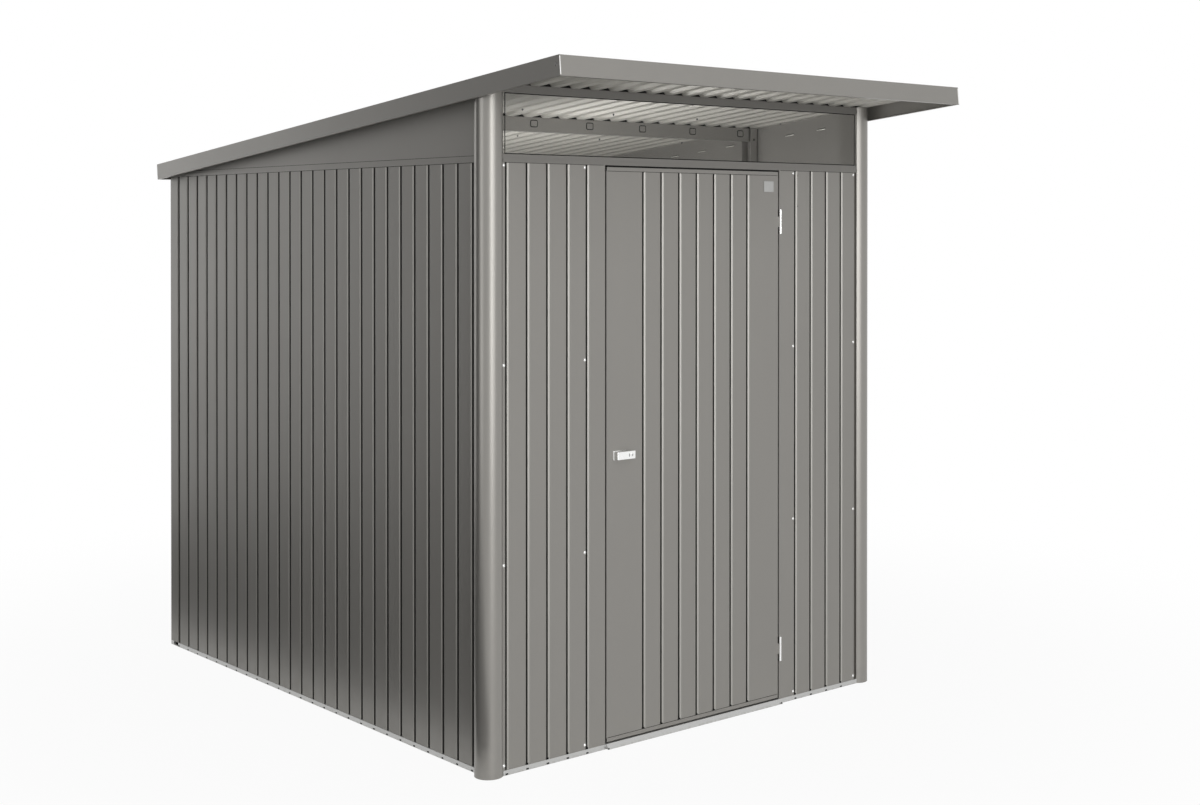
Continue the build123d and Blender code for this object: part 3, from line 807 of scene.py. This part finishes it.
def gable_slot_tongues():
    """Pressed tongues, pale as painted highlight, over black beds of painted shade in the slots of the
    gables' inner faces.
    """
    kinds = (
        ("_tongues", SLOT_HIGHLIGHT, *SLOT_TONGUE, TONGUE_LIFT, 0.0),
        ("_slot_beds", MATT_BLACK_AND_SHADE, *SLOT_SHADE_BED, 0.0, SHADE_BED_SUNK),
    )
    for side, name in ((-1, "gable_left"), (1, "gable_right")):
        low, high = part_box(name)
        inner = high.x if side < 0 else low.x
        turn = (0, -side * radians(ROOF_SLOPE), -side * pi / 2)
        for kind, finish, tall, proud, lift, sunk in kinds:
            model = strip("tongue", finish, SLOT_LENGTH, tall, proud)
            spots = [(inner + side * sunk, y, roof_seat(y) + SLOT_RISE + lift) for y in slot_places()]
            copies(model, name + kind, "shed", spots, turn)
            bpy.data.objects.remove(model)


def groove_places(name, low, high):
    """Middles of the grooves that a front sheet really has."""
    left = -DOOR_GROOVE_REACH if name == "door_skin" else low.x
    right = DOOR_GROOVE_REACH if name == "door_skin" else high.x
    first = int((left - GROOVE_SHIFT) / GROOVE_PITCH) - 1
    grid = [number * GROOVE_PITCH + GROOVE_SHIFT for number in range(first, first + GROOVES_AT_MOST)]
    return [x for x in grid if left + GROOVE_MARGIN < x < right - GROOVE_MARGIN]


def groove_feet():
    """Dark flattened beads at the foot of every groove of the front sheets."""
    for body, name in (
        ("shed", "front_wall_left"),
        ("shed", "front_wall_right"),
        ("door", "door_skin"),
    ):
        low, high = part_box(name)
        foot = bead("groove_foot", GROOVE_FOOT)
        rise = GROOVE_FOOT[2] * FOOT_RISE
        spots = [(x, low.y, low.z + rise) for x in groove_places(name, low, high)]
        copies(foot, name + "_feet", body, spots)
        bpy.data.objects.remove(foot)


def rail_shadow_lines():
    """Black strips of painted shade under the top rails of the sides and between them and the gables."""
    low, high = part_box("top_rail_left")
    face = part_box("left_wall")[0].x
    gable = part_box("gable_left")[0].x
    half = SHADOW_LINE_THICKNESS / 2
    middle = (low.y + high.y) / 2
    model = strip("shadow_line", MATT_BLACK_AND_SHADE, high.y - low.y - RAIL_SHADOW_CLEAR, SHADOW_LINE_THICKNESS, SHADOW_LINE_DEPTH)
    for name, x, z, turn in (
        ("left_rail_shadow_line", face, low.z - half, -pi / 2),
        ("right_rail_shadow_line", -face, low.z - half, pi / 2),
        ("left_gable_shadow_line", gable, high.z + half, -pi / 2),
        ("right_gable_shadow_line", -gable, high.z + half, pi / 2),
    ):
        copies(model, name, "shed", [(x, middle, z)], (0, 0, turn))
    bpy.data.objects.remove(model)


def wall_top_shadow_lines():
    """Black strips of painted shade at the upper edges of the front and rear sheets."""
    for name in ("front_wall_left", "front_wall_right", "rear_wall"):
        low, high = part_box(name)
        rear = name == "rear_wall"
        model = strip("shadow_line", MATT_BLACK_AND_SHADE, high.x - low.x - WALL_SHADOW_CLEAR, SHADOW_LINE_THICKNESS, SHADOW_LINE_DEPTH)
        spot = ((low.x + high.x) / 2, high.y if rear else low.y, high.z - SHADOW_LINE_THICKNESS / 2)
        copies(model, name + "_shadow_line", "shed", [spot], (0, 0, pi if rear else 0))
        bpy.data.objects.remove(model)


def door_gap_shade():
    """Black ring of painted shade that fills the view through the gap round the door."""
    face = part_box("front_wall_left")[0].y
    model = ring("gap_shade", MATT_BLACK_AND_SHADE, *GAP_SHADE_SIZE)
    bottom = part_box("door_sill")[1].z
    middle = (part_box("door_skin")[0].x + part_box("door_skin")[1].x) / 2
    height = bottom - GAP_SHADE_DROP + GAP_SHADE_SIZE[1] / 2
    copies(model, "door_gap_shade", "shed", [(middle, face + GAP_SHADE_BACK, height)])
    bpy.data.objects.remove(model)


def door_top_gap_shade():
    """Black lip of painted shade in the gap over the door."""
    low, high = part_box("door_skin")
    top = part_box("door_top_rail")[1].z
    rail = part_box("top_rail_front")[0].z
    height = (rail - top) * TOP_GAP_SHADE_SHARE
    model = strip("lip", MATT_BLACK_AND_SHADE, high.x - low.x - TOP_GAP_SHADE_CLEAR, height, TOP_GAP_SHADE_DEPTH)
    spot = ((low.x + high.x) / 2, low.y + TOP_GAP_SHADE_DEPTH, (top + rail) / 2)
    copies(model, "door_top_gap_shade", "shed", [spot])
    bpy.data.objects.remove(model)


def door_shadow_lines():
    """Black strips of painted shade along the folds between the door's ribbed sheet and its two end
    bands.
    """
    low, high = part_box("door_skin")
    middle = (low.x + high.x) / 2
    model = strip("shadow_line", MATT_BLACK_AND_SHADE, high.x - low.x - DOOR_SHADOW_CLEAR, SHADOW_LINE_HEIGHT, SHADOW_LINE_DEPTH)
    spots = [(middle, low.y, z) for z in (low.z + SHADOW_LINE_HEIGHT / 2, high.z - SHADOW_LINE_HEIGHT / 2)]
    copies(model, "door_shadow_lines", "door", spots)
    bpy.data.objects.remove(model)


def plate_rim():
    """Raised rim of the blank plate."""
    low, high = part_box("door_plate")
    middle = (low + high) / 2
    size = (high.x - low.x, high.z - low.z, PLATE_RIM, PLATE_RIM_DEPTH, PLATE_CORNER)
    model = ring("rim", FINISHES["plate_metal"], *size)
    copies(model, "plate_rim", "door", [(middle.x, low.y, middle.z)])
    bpy.data.objects.remove(model)


def key_barrel():
    """Round key barrel, its seat on the XZ plane, facing -Y."""
    let_go()
    place = (0, -KEY_DEPTH / 2, 0)
    bpy.ops.mesh.primitive_cylinder_add(
        vertices=28, radius=KEY_RADIUS, depth=KEY_DEPTH, location=place, rotation=(pi / 2, 0, 0)
    )
    barrel = bpy.context.object
    bpy.ops.object.transform_apply(location=True, rotation=True, scale=True)
    edit(barrel, lambda side: side.normal.y < -0.9)
    bpy.ops.mesh.inset(thickness=KEY_RADIUS * KEY_STEP)
    extrude(0, KEY_SUNK, 0)
    return close(barrel, "barrel", FINISHES["hinge_steel"], smooth=40)


def lever_details():
    """Key barrel with its slot, and the mark beside it, on the lever's face."""
    low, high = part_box("handle_lever")
    x, y, z = high.x - KEY_OFFSET, low.y, (low.z + high.z) / 2
    barrel = key_barrel()
    copies(barrel, "key_barrel", "handle", [(x, y, z)])
    slot = strip("slot", MATT_BLACK_AND_SHADE, *KEY_SLOT)
    copies(slot, "key_slot", "handle", [(x, y - KEY_SLOT_PROUD, z)])
    mark = strip("mark", MATT_BLACK_AND_SHADE, *LEVER_MARK)
    copies(mark, "lever_mark", "handle", [(x - LEVER_MARK_OFFSET, y, z)])
    for piece in (barrel, slot, mark):
        bpy.data.objects.remove(piece)


def fascia_screws():
    """One sunk screw near each front corner of the side fascias, 0.2 mm proud of them."""
    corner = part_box("fascia_left")[0]
    let_go()
    middle = (0, 0, -FASCIA_SCREW_BACK)
    bpy.ops.mesh.primitive_cylinder_add(
        vertices=24, radius=SCREW_RADIUS, depth=FASCIA_SCREW_THICKNESS, location=middle
    )
    screw = bpy.context.object
    edit(screw, lambda side: side.normal.z > 0.9)
    bpy.ops.mesh.inset(thickness=SCREW_RADIUS - SOCKET_RADIUS)
    extrude(0, 0, -FASCIA_SOCKET_DEPTH)
    close(screw, "sunk_screw", SCREW_STEEL, smooth=40)
    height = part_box("fascia_front")[1].z - FASCIA_SCREW_DROP
    place = corner.y + FASCIA_SCREW_FROM_FRONT
    left = corner.x
    copies(screw, "fascia_screw_left", "shed", [(left, place, height)], (0, -pi / 2, 0))
    copies(screw, "fascia_screw_right", "shed", [(-left, place, height)], (0, pi / 2, 0))
    bpy.data.objects.remove(screw)


def fascia_edges():
    """Bright strip down each front corner of the fascia, a painted highlight on its folded lip."""
    low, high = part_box("fascia_front")
    tall = high.z - low.z
    model = strip("edge", EDGE_HIGHLIGHT, EDGE_WIDTH, tall - 2 * EDGE_END, EDGE_DEPTH)
    y = low.y + tall / 2 * tan(radians(ROOF_SLOPE))
    spots = [(x, y, low.z + tall / 2) for x in (low.x + EDGE_IN, high.x - EDGE_IN)]
    copies(model, "fascia_edges", "shed", spots, (-radians(ROOF_SLOPE), 0, 0))
    bpy.data.objects.remove(model)


def sill_plugs():
    """Dark plugs at the ends of the sill's front edge."""
    low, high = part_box("door_sill")
    plug = bead("plug", PLUG_SIZE)
    spots = [
        (low.x + PLUG_LEFT[0], low.y, PLUG_LEFT[1]),
        (high.x - PLUG_RIGHT[0], low.y, PLUG_RIGHT[1]),
    ]
    copies(plug, "sill_plugs", "shed", spots)
    bpy.data.objects.remove(plug)


# Studio pieces


def room_light():
    """Even grey light all round, and a white view past the shed."""
    world = bpy.data.worlds.new("studio")
    bpy.context.scene.world = world
    world.use_nodes = True
    net = Net(world.node_tree)
    tone = net.colour(net.seen(), (ROOM_LIGHT, ROOM_LIGHT, ROOM_LIGHT), (1.0, 1.0, 1.0))
    sky = net.node("ShaderNodeBackground", inputs={"Color": tone, "Strength": 1.0})
    net.node("ShaderNodeOutputWorld", inputs={"Surface": sky})


def lamp(name, place, aim, width, height, power):
    data = bpy.data.lights.new(name, "AREA")
    data.shape = "RECTANGLE"
    data.size = width
    data.size_y = height
    data.energy = power
    made = bpy.data.objects.new(name, data)
    bpy.context.scene.collection.objects.link(made)
    made.location = place
    made.rotation_euler = (Vector(aim) - Vector(place)).to_track_quat("-Z", "Y").to_euler()
    made.visible_camera = False


def lamps():
    """Softboxes in front, to the left and behind, and three small ones inside."""
    for row in LAMPS:
        lamp(*row)


def dark_card(name, place, turn, size):
    """Dark card that only the sheen of the shed sees."""
    let_go()
    bpy.ops.mesh.primitive_plane_add(size=1, location=place, rotation=turn)
    card = bpy.context.object
    card.name = name
    bpy.ops.transform.resize(value=size)
    bpy.ops.object.transform_apply(location=True, rotation=True, scale=True)
    made, net = material(name)
    weave = net.cloud(0.02, 2.0)
    tone = net.colour(weave, (0.05, 0.05, 0.05), (0.07, 0.07, 0.07))
    matt = net.node("ShaderNodeBsdfDiffuse", inputs={"Color": tone})
    net.node("ShaderNodeOutputMaterial", inputs={"Surface": matt})
    card.data.materials.append(made)
    card.visible_camera = False
    card.visible_diffuse = False
    card.visible_shadow = False


def dark_cards():
    """One card beside the left wall and one lying low before it."""
    dark_card("side_card", SIDE_CARD_PLACE, (0, pi / 2, 0), SIDE_CARD_SIZE)
    dark_card("low_card", LOW_CARD_PLACE, (0, 0, 0), LOW_CARD_SIZE)


def floor():
    """White floor that keeps a soft shadow."""
    let_go()
    bpy.ops.mesh.primitive_plane_add(size=FLOOR_SIZE, location=(0, 0, -FLOOR_DROP))
    ground = bpy.context.object
    ground.name = "floor"
    made, net = material("studio_floor")
    grain = net.cloud(0.4, 2.0)
    tone = net.colour(grain, (0.80, 0.80, 0.80), (0.82, 0.82, 0.82))
    matt = net.node("ShaderNodeBsdfDiffuse", inputs={"Color": tone})
    white = net.node("ShaderNodeEmission", inputs={"Color": (1.0, 1.0, 1.0, 1.0)})
    reach = net.node("ShaderNodeVectorMath", {"operation": "LENGTH"}, {0: net.place()}, "Value")
    share = FLOOR_WHITE + net.band(reach, FLOOR_NEAR, FLOOR_FAR) * (1 - FLOOR_WHITE)
    mixed = net.node("ShaderNodeMixShader", inputs={0: net.seen() * share, 1: matt, 2: white})
    net.node("ShaderNodeOutputMaterial", inputs={"Surface": mixed})
    ground.data.materials.append(made)


def camera():
    data = bpy.data.cameras.new("camera")
    data.lens = CAMERA_LENS
    data.sensor_width = CAMERA_SENSOR
    data.shift_y = CAMERA_SHIFT_Y
    made = bpy.data.objects.new("camera", data)
    bpy.context.scene.collection.objects.link(made)
    made.location = CAMERA_PLACE
    made.rotation_euler = [radians(angle) for angle in CAMERA_TURN]
    bpy.context.scene.camera = made


camera()
room_light()
lamps()
dark_cards()
floor()
dress_nodes()
wall_screws()
inner_post_screws()
wall_studs()
roof_screw_tips()
rib_fillers()
clip_rings()
window_gasket()
gable_slot_tongues()
groove_feet()
rail_shadow_lines()
wall_top_shadow_lines()
door_gap_shade()
door_top_gap_shade()
door_shadow_lines()
plate_rim()
lever_details()
fascia_screws()
fascia_edges()
sill_plugs()

bpy.context.scene.view_settings.view_transform = "Standard"
